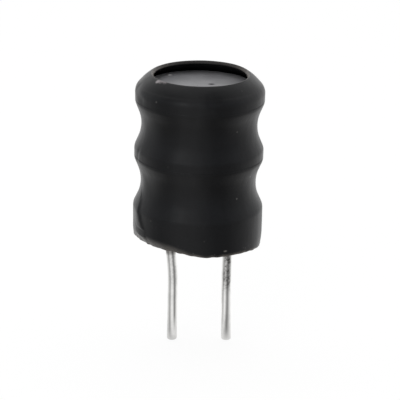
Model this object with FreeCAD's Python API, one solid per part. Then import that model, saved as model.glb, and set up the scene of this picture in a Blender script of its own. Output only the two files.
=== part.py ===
import FreeCAD, Part
import math
import os

# A radial drum core inductor: a ferrite core with three flanges, one winding in two sections,
# two leads set in the core's underside, and a shrink sleeve drawn down over all of it.
# Millimetres. The origin is on the board, on the core's axis. +Z runs up that axis, and the
# leads stand on the X axis and point down, both a little to the right of their sockets.

# Ferrite drum core
FLANGE_RADIUS = 5.40
POST_RADIUS = 2.50
CORE_UNDERSIDE = 1.00
BOTTOM_FLANGE = 2.57
LOWER_WINDOW = 4.06
MIDDLE_FLANGE = 1.43
UPPER_WINDOW = 3.84
TOP_FLANGE = 1.63
FLANGE_CHAMFER = 0.30
TOP_CHAMFER = 0.45
NOTCH_WIDTH = 0.90
NOTCH_CLEARANCE = 0.16
SLOT_WIDTH = 1.00
SLOT_CLEARANCE = 0.12
SLOT_TURN = 90.0
SOCKET_DEPTH = 1.70

# Enamelled wire and its two sections
WIRE_DIAMETER = 0.30
WINDING_RADIUS = 4.50
POST_GAP = 0.05
WINDOW_GAP = 0.07
TAIL_BEDDING = 0.04
TAIL_BEND = 0.40
WRAP_TURNS = 2
WRAP_EASE = 0.02

# Tinned leads
LEAD_DIAMETER = 0.80
LEAD_SPACING = 5.00
LEAD_REACH = 10.30
LEAD_TILT = 1.0
LEAD_TIP_CHAMFER = 0.12
KNEE_HEIGHT = -0.20
BOW_HEIGHT = -1.40
STRAIGHT_HEIGHT = -4.00
LEAD_SHIFT = 0.29
BOW_LEFT = 0.25
TURN_IN_RIGHT = 0.04

# Resin and solder at the root of each lead
SOCKET_GAP = 0.20
BEAD_RADIUS = 0.95
BEAD_THICKNESS = 0.15
BEAD_TO_WRAP = 0.03
SOLDER_COVER = 0.14
SOLDER_SKIRT = 0.13

# Shrink sleeve
SLEEVE_WALL = 0.35
GAP_AT_TOP = 0.05
GAP_AT_MIDDLE = 0.07
GAP_AT_BOTTOM = 0.14
GAP_AT_WIRE = 0.10
SHOULDER_DEPTH = 0.40
SHOULDER_TURN = 0.84
TOP_SHOULDER_DEPTH = 0.55
TOP_TURN = 0.98
HOLLOW_SHARE = 0.90
WAIST_FLATS = 4
LIP_FLATS = 3
LIP_OPENING = 4.15
LIP_LEAN = 50.3
HEM_HEIGHT = 0.0
HEM_ABOVE_CORE = 0.50
HEM_RISE_LEFT = 0.65
HEM_TUCK_LEFT = 0.24

# Heights and radii that follow from the sizes above
LOWER_FLOOR = CORE_UNDERSIDE + BOTTOM_FLANGE
MIDDLE_FLOOR = LOWER_FLOOR + LOWER_WINDOW
UPPER_FLOOR = MIDDLE_FLOOR + MIDDLE_FLANGE
TOP_FLOOR = UPPER_FLOOR + UPPER_WINDOW
CORE_TOP = TOP_FLOOR + TOP_FLANGE
WIRE_RADIUS = WIRE_DIAMETER / 2
TAIL_RADIUS = WINDING_RADIUS + WIRE_RADIUS - TAIL_BEDDING
LEAD_RADIUS = LEAD_DIAMETER / 2
WRAP_RADIUS = LEAD_RADIUS + WIRE_DIAMETER
WRAP_TOP = CORE_UNDERSIDE - BEAD_THICKNESS - BEAD_TO_WRAP
TAIL_RUN_HEIGHT = WRAP_TOP - WIRE_RADIUS
NOTCH_FLOOR = TAIL_RADIUS - WIRE_RADIUS - NOTCH_CLEARANCE
WAIST_RADIUS = TAIL_RADIUS + WIRE_RADIUS + GAP_AT_WIRE + SLEEVE_WALL
HUMP_BOTTOM = FLANGE_RADIUS + GAP_AT_BOTTOM + SLEEVE_WALL
HUMP_MIDDLE = FLANGE_RADIUS + GAP_AT_MIDDLE + SLEEVE_WALL
HUMP_TOP = FLANGE_RADIUS + GAP_AT_TOP + SLEEVE_WALL
HEM_TOP = CORE_UNDERSIDE + HEM_ABOVE_CORE

ORIGIN = FreeCAD.Vector(0, 0, 0)
UP = FreeCAD.Vector(0, 0, 1)
BESIDE = FreeCAD.Vector(0, 1, 0)


def at(x, z):
    """A point in the upright plane through the leads."""
    return FreeCAD.Vector(x, 0, z)


def straight(start, end):
    """A straight edge."""
    return Part.LineSegment(start, end).toShape()


def polygon(*points):
    """The closed outline through points (x, z)."""
    corners = [at(x, z) for x, z in points]
    return [straight(a, b) for a, b in zip(corners, corners[1:] + corners[:1])]


def turned(edges):
    """The solid that a closed outline sweeps in one turn about the core's axis."""
    return Part.Face(Part.Wire(edges)).revolve(ORIGIN, UP, 360)


def bent_wire(corners, radius):
    """A round wire through corners (x, z), mitred at each bend, with its ends cut square."""
    points = [at(x, z) for x, z in corners]
    path = Part.makePolygon(points)
    section = Part.Wire(Part.makeCircle(radius, points[0], points[1] - points[0]))
    return path.makePipeShell([section], True, True, 1)


def drum_core():
    """The ferrite core: a post with three flanges, pressed and ground as one piece."""
    core = Part.makeCylinder(POST_RADIUS, CORE_TOP - CORE_UNDERSIDE, at(0, CORE_UNDERSIDE))
    flanges = [
        flange(CORE_UNDERSIDE, LOWER_FLOOR, FLANGE_CHAMFER),
        flange(MIDDLE_FLOOR, UPPER_FLOOR, FLANGE_CHAMFER),
        flange(TOP_FLOOR, CORE_TOP, TOP_CHAMFER),
    ]
    cutters = [crossover_slot()]
    for side in (-1, 1):
        cutters.append(rim_notch(side, CORE_UNDERSIDE, LOWER_FLOOR))
        cutters.append(rim_notch(side, MIDDLE_FLOOR, UPPER_FLOOR))
        cutters.append(lead_socket(side))
    return core.fuse(flanges).removeSplitter().cut(cutters)


def flange(low, high, top_chamfer):
    """One flange, with a chamfer round each edge of its rim."""
    rim = FLANGE_RADIUS
    return turned(polygon(
        (0, low),
        (rim - FLANGE_CHAMFER, low),
        (rim, low + FLANGE_CHAMFER),
        (rim, high - top_chamfer),
        (rim - top_chamfer, high),
        (0, high),
    ))


def radial_cutter(floor, width, low, high):
    """A round-bottomed slot along +X, from a floor radius out past the rim."""
    radius = width / 2
    over = FLANGE_CHAMFER
    bottom = low - over
    height = high - low + 2 * over
    centre = floor + radius
    length = FLANGE_RADIUS + over - centre
    round_end = Part.makeCylinder(radius, height, at(centre, bottom))
    corner = FreeCAD.Vector(centre, -radius, bottom)
    return Part.makeBox(length, width, height, corner).fuse(round_end)


def rim_notch(side, low, high):
    """A notch through one flange's rim, over a lead, for the wire's ends to pass."""
    cutter = radial_cutter(NOTCH_FLOOR, NOTCH_WIDTH, low, high)
    if side < 0:
        cutter.rotate(ORIGIN, UP, 180)
    return cutter


def crossover_slot():
    """The deep slot in the middle flange, by which the wire goes up to the next post."""
    floor = POST_RADIUS + SLOT_CLEARANCE
    cutter = radial_cutter(floor, SLOT_WIDTH, MIDDLE_FLOOR, UPPER_FLOOR)
    cutter.rotate(ORIGIN, UP, SLOT_TURN)
    return cutter


def lead_socket(side):
    """The blind hole in the core's underside that holds a lead."""
    mouth = at(side * LEAD_SPACING / 2, CORE_UNDERSIDE - FLANGE_CHAMFER)
    return Part.makeCylinder(LEAD_RADIUS + SOCKET_GAP, SOCKET_DEPTH + FLANGE_CHAMFER, mouth)


def wound_section(floor, window):
    """The turns between two flanges, as many as the window takes, wound to one body."""
    turns = int((window - 2 * WINDOW_GAP) / WIRE_DIAMETER)
    low = floor + (window - turns * WIRE_DIAMETER) / 2
    high = low + turns * WIRE_DIAMETER
    inner = POST_RADIUS + POST_GAP
    outer = WINDING_RADIUS
    return turned(polygon((inner, low), (outer, low), (outer, high), (inner, high)))


def crossover():
    """The run from the lower section's last turn, by the slot, to the upper section's first."""
    depth = WINDOW_GAP + WIRE_DIAMETER
    outer = WINDING_RADIUS - WIRE_DIAMETER
    inner = POST_RADIUS + SLOT_CLEARANCE + WIRE_DIAMETER
    start = at(outer, MIDDLE_FLOOR - depth)
    way = at(inner, UPPER_FLOOR + depth) - start
    run = Part.makeCylinder(WIRE_RADIUS, way.Length, start, way)
    run.rotate(ORIGIN, UP, SLOT_TURN)
    return run


def wire_tail(side, top):
    """An end of the wire: down by the notches, a bend, and in to its lead under the core."""
    to_lead = TAIL_RADIUS - LEAD_SPACING / 2
    wrap_line = LEAD_RADIUS + WIRE_RADIUS + WRAP_EASE
    run_length = math.sqrt(to_lead ** 2 - wrap_line ** 2)
    swing = math.degrees(math.asin(wrap_line / to_lead))
    route = [
        (0, top),
        (0, TAIL_RUN_HEIGHT + TAIL_BEND),
        (-TAIL_BEND, TAIL_RUN_HEIGHT),
        (-run_length, TAIL_RUN_HEIGHT),
    ]
    tail = bent_wire(route, WIRE_RADIUS)
    tail.rotate(ORIGIN, UP, swing)
    tail.translate(at(TAIL_RADIUS, 0))
    if side < 0:
        tail.rotate(ORIGIN, UP, 180)
    return tail


def set_on_lead(shape, side):
    """Moves a piece made about the Z axis onto a lead's upper run, tilted with it."""
    mouth = at(side * LEAD_SPACING / 2, CORE_UNDERSIDE)
    shape.translate(at(mouth.x, 0))
    shape.rotate(mouth, BESIDE, -side * LEAD_TILT)
    return shape


def lead_wrap(side):
    """The turns of the wire's end round a lead, drawn tight to one body."""
    low = WRAP_TOP - WRAP_TURNS * WIRE_DIAMETER
    inner, outer = LEAD_RADIUS, WRAP_RADIUS
    ring = turned(polygon((inner, low), (outer, low), (outer, WRAP_TOP), (inner, WRAP_TOP)))
    return set_on_lead(ring, side)


def coil_winding():
    """The whole wire, from the wrap on one lead to the wrap on the other."""
    start_top = LOWER_FLOOR + WINDOW_GAP + 2 * WIRE_DIAMETER
    finish_top = UPPER_FLOOR + WINDOW_GAP + 2 * WIRE_DIAMETER
    lower = wound_section(LOWER_FLOOR, LOWER_WINDOW)
    upper = wound_section(UPPER_FLOOR, UPPER_WINDOW)
    runs = [upper, crossover()]
    for side, top in ((-1, start_top), (1, finish_top)):
        runs.append(wire_tail(side, top))
        runs.append(lead_wrap(side))
    return lower.fuse(runs)


def lead(side, bow):
    """A tinned wire: set in the core a little aslant, bent aside, then straight down."""
    socket = LEAD_SPACING / 2
    middle = socket + side * LEAD_SHIFT
    slope = math.tan(math.radians(LEAD_TILT))
    tip = LEAD_TIP_CHAMFER
    set_depth = SOCKET_DEPTH - SOCKET_GAP
    route = [
        (socket - set_depth * slope, CORE_UNDERSIDE + set_depth),
        (socket + (CORE_UNDERSIDE - KNEE_HEIGHT) * slope, KNEE_HEIGHT),
        (middle + bow, BOW_HEIGHT),
        (middle, STRAIGHT_HEIGHT),
        (middle, tip - LEAD_REACH),
    ]
    wire = bent_wire(route, LEAD_RADIUS)
    end = Part.makeCone(LEAD_RADIUS - tip, LEAD_RADIUS, tip, at(middle, -LEAD_REACH))
    wire = wire.fuse(end)
    if side < 0:
        wire.rotate(ORIGIN, UP, 180)
    return wire


def adhesive(side, lead_wire):
    """The resin round a lead: it fills the socket and stands as a low bead at its mouth."""
    top = CORE_UNDERSIDE + SOCKET_DEPTH
    bead_low = CORE_UNDERSIDE - BEAD_THICKNESS
    socket = LEAD_RADIUS + SOCKET_GAP
    resin = turned(polygon(
        (0, top),
        (0, bead_low),
        (BEAD_RADIUS - BEAD_THICKNESS, bead_low),
        (BEAD_RADIUS, CORE_UNDERSIDE),
        (socket, CORE_UNDERSIDE),
        (socket, top),
    ))
    resin.translate(at(side * LEAD_SPACING / 2, 0))
    return resin.cut(lead_wire)


def solder(side, coil, lead_wire):
    """The solder over a wrap, drawn out along the lead below it."""
    low = WRAP_TOP - WRAP_TURNS * WIRE_DIAMETER
    joint = turned(polygon(
        (0, TAIL_RUN_HEIGHT),
        (0, low - SOLDER_SKIRT),
        (LEAD_RADIUS + SOLDER_COVER / 2, low - SOLDER_SKIRT),
        (WRAP_RADIUS + SOLDER_COVER, low),
        (WRAP_RADIUS, TAIL_RUN_HEIGHT),
    ))
    return set_on_lead(joint, side).cut([coil, lead_wire])


def facing(angle):
    """The direction at an angle from +X towards +Z."""
    return at(math.cos(angle), math.sin(angle))


def half_waist(hump, floor, waist_height):
    """From a flange to a waist: a turn over the flange's edge, a straight slope and a hollow.

    Two arcs that only just meet turn by twice the angle of the line from hump to waist. The
    hollow takes a share of the radius that this leaves it, and the slope touches both arcs:
    its lean is the bearing of one arc's centre from the other, less the angle whose cosine is
    the sum of the radii over the distance between them. The wall follows this line in flats
    of one length.
    """
    way = 1 if waist_height > floor else -1
    hump_height = floor - way * SHOULDER_DEPTH
    rise = abs(waist_height - hump_height)
    widest_turn = 2 * math.atan2(hump - WAIST_RADIUS, rise)
    hollow = HOLLOW_SHARE * (rise / math.sin(widest_turn) - SHOULDER_TURN)
    over = at(hump - SHOULDER_TURN, hump_height)
    under = at(WAIST_RADIUS + hollow, waist_height)
    between = under - over
    bearing = math.atan2(rise, between.x)
    lean = bearing - math.acos((SHOULDER_TURN + hollow) / between.Length)
    slope_top = over + facing(way * lean) * SHOULDER_TURN
    slope = under - facing(way * lean) * hollow - slope_top
    ends = [SHOULDER_TURN * lean, SHOULDER_TURN * lean + slope.Length]
    length = ends[1] + hollow * lean
    outside = []
    bore = []
    for number in range(WAIST_FLATS + 1):
        along = length * number / WAIST_FLATS
        if along < ends[0]:
            turn = way * along / SHOULDER_TURN
            point = over + facing(turn) * SHOULDER_TURN
        elif along < ends[1]:
            turn = way * lean
            point = slope_top + slope * ((along - ends[0]) / slope.Length)
        else:
            turn = way * (length - along) / hollow
            point = under - facing(turn) * hollow
        outside.append(point)
        bore.append(point - facing(turn) * SLEEVE_WALL)
    bore[0] = at(hump - SLEEVE_WALL, floor - way * FLANGE_CHAMFER)
    return outside, bore[::2]


def sleeve_waist(hump_below, floor_below, hump_above, floor_above):
    """One waist of the sleeve, between two flanges: its outside and its bore, both upward."""
    waist_height = (floor_below + floor_above) / 2
    outside, bore = half_waist(hump_below, floor_below, waist_height)
    outside_above, bore_above = half_waist(hump_above, floor_above, waist_height)
    return outside + outside_above[-2::-1], bore + bore_above[-2::-1]


def sleeve_lip():
    """The top of the sleeve: a turn over the core's edge, a cone, and the square-cut end."""
    lean = math.radians(LIP_LEAN)
    height = CORE_TOP - TOP_SHOULDER_DEPTH
    over = at(HUMP_TOP - TOP_TURN, height)
    turns = [lean * number / LIP_FLATS for number in range(LIP_FLATS + 1)]
    outside = [over + facing(turn) * TOP_TURN for turn in turns]
    foot = outside[-1]
    wall = facing(lean) * SLEEVE_WALL
    end_x = LIP_OPENING + wall.x
    end = at(end_x, foot.z + (foot.x - end_x) / math.tan(lean))
    bore = [at(HUMP_TOP - SLEEVE_WALL, CORE_TOP - TOP_CHAMFER), foot - wall, end - wall]
    return outside + [end], bore


def ring_across(left, right):
    """The ring that has two points of the upright plane at the ends of a diameter."""
    across = right - left
    square = across.cross(BESIDE)
    return Part.Wire(Part.makeCircle(across.Length / 2, (left + right) / 2, square))


def level_ring(point):
    """The level ring through a point, about the core's axis."""
    return ring_across(at(-point.x, point.z), point)


def sleeve_hem():
    """The cut edge's two rings, outer and inner: tucked in and cut higher on the left."""
    drop = HEM_TOP - HEM_HEIGHT - HEM_RISE_LEFT
    lean = math.atan(HEM_TUCK_LEFT / drop)
    inward = facing(lean) * SLEEVE_WALL
    left = at(HEM_TUCK_LEFT - HUMP_BOTTOM, HEM_HEIGHT + HEM_RISE_LEFT)
    right = at(HUMP_BOTTOM, HEM_HEIGHT)
    return ring_across(left, right), ring_across(left + inward, right - at(SLEEVE_WALL, 0))


def shrink_sleeve():
    """The sleeve: one wall, drawn in between the flanges and over the top of the core.

    Its skin is a closed chain of rings with a straight-ruled band from each to the next. The
    chain goes from the cut edge up the outside, over the lip and back down the bore.
    """
    cut_outside, cut_inside = sleeve_hem()
    lower = sleeve_waist(HUMP_BOTTOM, LOWER_FLOOR, HUMP_MIDDLE, MIDDLE_FLOOR)
    upper = sleeve_waist(HUMP_MIDDLE, UPPER_FLOOR, HUMP_TOP, TOP_FLOOR)
    lip = sleeve_lip()
    hem_top = at(HUMP_BOTTOM, HEM_TOP), at(HUMP_BOTTOM - SLEEVE_WALL, HEM_TOP)
    outside, bore = [
        [level_ring(point) for point in [hem_top[face]] + lower[face] + upper[face] + lip[face]]
        for face in (0, 1)
    ]
    rings = [cut_outside] + outside + bore[::-1] + [cut_inside]
    bands = []
    for ring, following in zip(rings, rings[1:] + rings[:1]):
        bands += Part.makeLoft([ring, following], False, True).Faces
    shell = Part.makeShell(bands)
    shell.sewShape()
    return Part.makeSolid(shell)


def save(name, shape):
    """Writes one piece, which has to be a single sound solid."""
    solids = shape.Solids
    if len(solids) != 1 or not shape.isValid():
        raise ValueError(f"{name} has {len(solids)} solids, valid: {shape.isValid()}")
    solids[0].exportStep(f"parts/{name}.step")
    box = solids[0].BoundBox
    print(f"{name}: {solids[0].Volume:.2f} mm3, z {box.ZMin:.2f} to {box.ZMax:.2f}")


def main():
    os.makedirs("parts", exist_ok=True)
    coil = coil_winding()
    save("drum_core", drum_core())
    save("coil_winding", coil)
    for side, word, bow in ((-1, "left", BOW_LEFT), (1, "right", -TURN_IN_RIGHT)):
        wire = lead(side, bow)
        save(f"lead_{word}", wire)
        save(f"adhesive_{word}", adhesive(side, wire))
        save(f"solder_{word}", solder(side, coil, wire))
    save("shrink_sleeve", shrink_sleeve())


main()
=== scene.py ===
"""Dresses a drum core inductor in its heat-shrink sleeve, wire, solder and leads.

Lengths are in metres. The origin is on the board, on the core's axis, and +Z runs up that
axis. Each piece is a surface over a grid of two parameters, worked out with numpy.
"""

import math

import bpy
import numpy as np
from mathutils import Matrix, Vector


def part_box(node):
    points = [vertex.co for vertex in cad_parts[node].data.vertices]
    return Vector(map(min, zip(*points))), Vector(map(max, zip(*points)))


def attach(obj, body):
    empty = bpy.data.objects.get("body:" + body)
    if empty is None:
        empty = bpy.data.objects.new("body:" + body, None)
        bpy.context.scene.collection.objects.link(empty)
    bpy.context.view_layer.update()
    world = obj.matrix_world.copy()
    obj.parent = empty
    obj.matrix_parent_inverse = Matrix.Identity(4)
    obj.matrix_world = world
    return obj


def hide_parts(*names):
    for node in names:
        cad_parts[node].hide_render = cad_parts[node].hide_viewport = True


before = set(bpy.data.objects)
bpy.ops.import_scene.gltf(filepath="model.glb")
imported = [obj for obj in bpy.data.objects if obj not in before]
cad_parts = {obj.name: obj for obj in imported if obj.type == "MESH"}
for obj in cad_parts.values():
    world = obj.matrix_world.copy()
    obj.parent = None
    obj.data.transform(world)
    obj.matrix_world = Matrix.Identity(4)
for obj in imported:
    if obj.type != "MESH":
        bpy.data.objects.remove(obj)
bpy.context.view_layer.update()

bl_info = {
    "name": "Drum core inductor",
    "version": (1, 0, 0),
    "blender": (4, 5, 0),
    "location": "View3D > Sidebar > Inductor",
    "description": "Builds the sleeve, winding, solder and leads of a drum core inductor",
    "category": "Add Mesh",
}

MM = 0.001
CORE_LOW, CORE_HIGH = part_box("drum_core")
LEAD_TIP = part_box("lead_left")[0].z
SIDES = {"left": -1, "right": 1}

# The cut edge's height by azimuth, where -90 degrees faces the camera and 0 is the right side
CUT_EDGE = (
    (-180, 0.43), (-154, 0.42), (-140, 0.41), (-121, 0.42), (-108, 0.50), (-99, 0.42),
    (-88, 0.26), (-78, 0.21), (-55, 0.20), (-38, 0.10), (-20, -0.18), (-5, -0.26), (12, -0.08),
    (60, 0.14), (110, 0.36), (150, 0.45),
)
# The height of the crease above the tucked-in stretch of the hem, and the depth of the tuck
CREASE = (
    (-180, 1.20), (-169, 1.28), (-148, 1.43), (-130, 1.47), (-114, 1.40), (-101, 1.02),
    (-92, 0.70),
)
TUCK = (
    (-180, 0.03), (-168, 0.18), (-154, 0.48), (-140, 0.58), (-122, 0.54), (-108, 0.32),
    (-97, 0.08), (-88, 0.0), (-30, 0.0), (-5, 0.12), (40, 0.03), (120, 0.05), (165, 0.02),
)
# Creases and dents: azimuth and height of both ends, width on each side, and depth inwards
DENTS = (
    (-159, 4.1, -152, 3.0, 0.22, 1.0, -0.05), (-152, 3.0, -145, 1.7, 0.22, 1.0, -0.06),
    (-168, 14.4, -152, 13.8, 0.40, 0.40, 0.045), (-174, 14.0, -160, 13.4, 0.40, 0.40, -0.02),
    (-80, 14.35, -76, 14.3, 0.45, 0.45, 0.05), (-158, 8.9, -161, 8.0, 0.22, 0.22, 0.03),
    (20, 13.2, 32, 12.9, 0.3, 0.3, 0.05), (100, 3.2, 108, 2.2, 0.3, 0.3, 0.05),
    (75, 8.2, 84, 8.7, 0.3, 0.3, 0.04),
)
# The radius at which the wall is unrolled for them
WALL_RADIUS = 5.85
# How much higher the lip stands than its even profile
LIP_RISE = (
    (-180, 0.03), (-90, 0.055), (0, 0.02), (35, 0.11), (60, 0.09), (90, 0.06), (140, 0.05),
)

# Each lead's centre line, as heights and places along X, and the softness of its bends
LEAD_LINES = {
    -1: (
        (-11, -2.18), (-4.4, -2.175), (-3.3, -2.22), (-1.9, -2.36), (-0.6, -2.50),
        (1.0, -2.5), (3.0, -2.465),
    ),
    1: (
        (-10.3, 2.93), (-5.4, 2.81), (-3.4, 2.80), (-1.9, 2.83), (-0.9, 2.68), (0.2, 2.515),
        (1.0, 2.5), (3.0, 2.465),
    ),
}
BEND_WIDTH = 0.25
STREAK_AZIMUTH = -80
# Marks on the surfaces: their place and radius in millimetres
RESIDUE = (
    (-3.74, -2.66, 15.50, 0.28), (-3.40, -2.84, 15.50, 0.32), (-2.98, -3.10, 15.50, 0.36),
    (-2.45, -3.40, 15.50, 0.26),
)
SCRAP = (2.56, -5.33, 0.74, 0.21)
PALE_GRAIN = (-2.79, 3.20, CORE_HIGH.z / MM, 0.24)
DARK_DOT = (1.0, 0.40, CORE_HIGH.z / MM, 0.40)
# The light tent's grey by compass bearing in degrees: 0 in front, positive to the right
TENT = (
    (-180, 1.0), (-140, 1.0), (-118, 0.74), (-90, 0.60), (-72, 0.32), (-58, 0.36), (-34, 0.84),
    (-4, 0.84), (20, 0.34), (34, 0.18), (48, 0.17), (72, 0.52), (100, 0.86), (128, 1.0),
    (150, 1.0), (180, 1.0),
)
WHITE = (1.0, 1.0, 1.0)
# The tin's colour in the dark streak, in the painted shadow at the root and in the streak's mottles
STREAKED_TIN, ROOT_SHADOW_TIN, MOTTLED_TIN = (0.26, 0.255, 0.245), (0.13, 0.12, 0.11), (0.12, 0.115, 0.11)
# The lamps: size in metres, power in watts and place, and the point that they are aimed at
LAMPS = {
    "overhead": (0.16, 0.045, (-0.03, 0.02, 0.20)),
    "front_left": (0.10, 0.02, (-0.10, -0.16, 0.10)),
}
LAMP_AIM = (0.0, 0.0, 0.006)


def length(text, help_text, millimetres):
    """A length that the user can set, shown in the scene's units."""
    return bpy.props.FloatProperty(
        name=text, description=help_text, default=millimetres * MM, unit="LENGTH", precision=5
    )


def colour(text, help_text, value):
    """A colour that the user can set."""
    return bpy.props.FloatVectorProperty(
        name=text, description=help_text, default=value, size=3, subtype="COLOR", min=0.0, max=1.0
    )


def share(text, help_text, value):
    """A share between nought and one."""
    return bpy.props.FloatProperty(
        name=text, description=help_text, default=value, min=0.0, max=1.0, subtype="FACTOR"
    )


class SleeveSizes(bpy.types.PropertyGroup):
    """Sizes and colours of the heat-shrink sleeve."""

    wall: length("Wall", "Thickness of the shrunk tube", 0.35)
    hump_bottom: length("Bottom hump", "Radius over the bottom flange", 5.92)
    hump_middle: length("Middle hump", "Radius over the middle flange", 5.84)
    hump_top: length("Top hump", "Radius over the top flange", 5.82)
    waist: length("Waist", "Radius where the tube is drawn in most", 5.23)
    bottom_floor: length("Bottom flange", "Height of the bottom flange's upper face", 3.57)
    middle_floor: length("Middle flange, below", "Height of the middle flange's lower face", 7.63)
    middle_ceiling: length("Middle flange, above", "Height of its upper face", 9.06)
    top_floor: length("Top flange", "Height of the top flange's lower face", 12.90)
    shoulder_depth: length("Shoulder depth", "How far inside a flange's face its turn starts", 0.40)
    shoulder_turn: length("Shoulder turn", "Radius of the tube's turn over a flange", 0.84)
    top_turn: length("Top turn", "Radius of its turn over the core's upper edge", 0.98)
    top_depth: length("Top turn's depth", "How far under the core's face that turn starts", 0.585)
    lip_opening: length("Lip opening", "Inner radius of the turned-in end", 4.15)
    lip_crown: length("Lip crown", "How far the lip's cone bulges between its ends", 0.06)
    lip_rounding: length("Lip rounding", "Radius of the two edges of the turned-in end", 0.07)
    hem_top: length("Hem top", "Height below which the cut edge shapes the wall", 1.90)
    burr: length("Burr", "How far the cut edge stands out in a thin lip", 0.09)
    edge_rounding: length("Edge rounding", "Radius of the cut edge's outer corner", 0.10)
    unevenness: length("Unevenness", "Depth of the soft dents of the shrunk wall", 0.028)
    lip_lean: bpy.props.FloatProperty(
        name="Lip lean", description="The lip's lean from upright", unit="ROTATION",
        default=math.radians(50.3),
    )
    hollow_share: share("Hollow share", "A waist hollow's share of its largest radius", 0.90)
    tube: colour("Tube", "The tube's black", (0.0042, 0.0043, 0.0049))
    cut: colour("Cut face", "The brown-grey of the tube's cut faces", (0.125, 0.110, 0.098))
    dust_and_top_light: colour("Dust", "Specks of dust and scuffs", (0.22, 0.21, 0.20))
    # Painted light from above: a bluish grey that lightens the tube where it faces up.
    painted_top_light: colour("Haze", "Fine dust where the tube faces up", (0.185, 0.20, 0.225))
    # Painted reflection: the grey that lightens the tucked band, where it would mirror the floor.
    painted_band_reflection: colour("Stretched band", "The greyed tube of the tucked band", (0.082, 0.076, 0.070))
    residue: colour("Residue", "Pale residue on the lip", (0.34, 0.31, 0.32))
    scrap: colour("Scrap", "The scrap of tube by the cut edge", (0.17, 0.16, 0.145))


class WireSizes(bpy.types.PropertyGroup):
    """Sizes and colours of the winding, the solder, the resin and the leads."""

    wire: length("Wire", "Thickness of the enamelled wire", 0.30)
    post: length("Post", "Inner radius of the winding's sections", 2.55)
    winding: length("Winding", "Outer radius of the winding's sections", 4.50)
    window_gap: length("Window gap", "Gap between the turns and a flange", 0.08)
    tail: length("Tail", "Distance of the wire's end runs from the core's axis", 4.61)
    tail_bend: length("Tail bend", "Radius of the bend under the core", 0.42)
    wrap_top: length("Wrap top", "Height of the top of the turns round a lead", 0.82)
    lead: length("Lead", "Thickness of a lead with its tin", 0.93)
    socket: length("Socket", "Depth of a lead in the core", 1.50)
    right_shorter: length("Right tip", "How much shorter the right lead is cut", 0.10)
    bead: length("Bead", "Radius of the resin bead at a lead's root", 0.95)
    bead_depth: length("Bead depth", "Depth of the resin bead", 0.15)
    solder_cover: length("Solder cover", "Solder's depth over the turns round a lead", 0.13)
    wraps: bpy.props.IntProperty(
        name="Wraps", description="Turns of the wire's end round its lead", default=2, min=1
    )
    copper: colour("Copper", "Enamelled copper", (0.50, 0.16, 0.055))
    tin: colour("Tin", "Bright tin on the leads", (0.96, 0.955, 0.94))
    solder: colour("Solder", "Solder", (0.66, 0.66, 0.65))
    resin: colour("Resin", "Dark epoxy", (0.075, 0.050, 0.030))
    ferrite: colour("Ferrite", "The core's ground ferrite", (0.20, 0.20, 0.21))


class StageSettings(bpy.types.PropertyGroup):
    """The camera, the floor and the light."""

    elevation: bpy.props.FloatProperty(
        name="Elevation", description="The camera's height as an angle", unit="ROTATION",
        default=math.radians(19.654),
    )
    roll: bpy.props.FloatProperty(
        name="Roll", description="The camera's turn about its own axis", unit="ROTATION",
        default=math.radians(1.257),
    )
    distance: length("Distance", "From the camera to its target", 153.0)
    target_side: length("Target, across", "How far right of the axis the camera looks", 0.197)
    target_height: length("Target height", "Height of the point that the camera looks at", 3.626)
    lens: bpy.props.FloatProperty(
        name="Lens", description="Focal length on a 36 mm sensor, in millimetres", default=150.376
    )
    floor_size: length("Floor", "Length of the floor's side", 900.0)
    shadow: share("Shadow", "How much of the object's shadow the floor keeps", 0.15)


def smooth(value):
    """Zero below nought, one above one, and between them the cubic 3x^2 - 2x^3."""
    x = np.clip(value, 0.0, 1.0)
    return x * x * (3.0 - 2.0 * x)


def soft_runs(knots, at, width, period=None):
    """Straight runs between knots whose values are in millimetres, softened, in metres.

    Each value is the runs' mean over a bell about its place, weighted by
    exp(-offset^2 / 2 width^2), which rounds each knot.
    """
    places, values = np.array(knots, dtype=float).T
    offsets = np.linspace(-3 * width, 3 * width, 25)
    bell = np.exp(-0.5 * (offsets / width) ** 2)
    runs = np.interp(at[..., None] + offsets, places, values, period=period)
    return MM * (runs * bell).sum(axis=-1) / bell.sum()


def round_curve(knots, azimuth, width):
    """A smooth closed curve near the knots (degrees, millimetres), in metres."""
    return soft_runs(knots, np.degrees(azimuth), width, 360.0)


def waves(azimuth, height, seed, count, turns, per_height):
    """Soft waves over a wall: a mean of cosines of k azimuth + m height + phase."""
    chance = np.random.default_rng(seed)
    total = np.zeros(np.broadcast(azimuth, height).shape)
    for _ in range(count):
        k = chance.integers(1, turns + 1)
        m = chance.uniform(-per_height, per_height)
        total += np.cos(k * azimuth + m * height / MM + chance.uniform(0, 2 * np.pi))
    return total / math.sqrt(count)


def dent_depth(azimuth, height):
    """The depth of the creases and soft dents at each azimuth and height.

    Each runs between two points of the unrolled wall. Its depth falls off as
    exp(-(distance / width)^2) with the distance from that line, with a width for each side.
    """
    total = np.zeros(np.broadcast(azimuth, height).shape)
    around = WALL_RADIUS * azimuth
    for start, start_height, end, end_height, upper, lower, depth in DENTS:
        first = np.array([WALL_RADIUS * math.radians(start), start_height])
        run = np.array([WALL_RADIUS * math.radians(end), end_height]) - first
        x, z = around - first[0], height / MM - first[1]
        share_of = np.clip((x * run[0] + z * run[1]) / (run @ run), 0.0, 1.0)
        away = (x - share_of * run[0]) ** 2 + (z - share_of * run[1]) ** 2
        width = np.where(run[0] * z - run[1] * x > 0, upper, lower)
        total += depth * MM * np.exp(-away / width ** 2)
    return total


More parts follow.
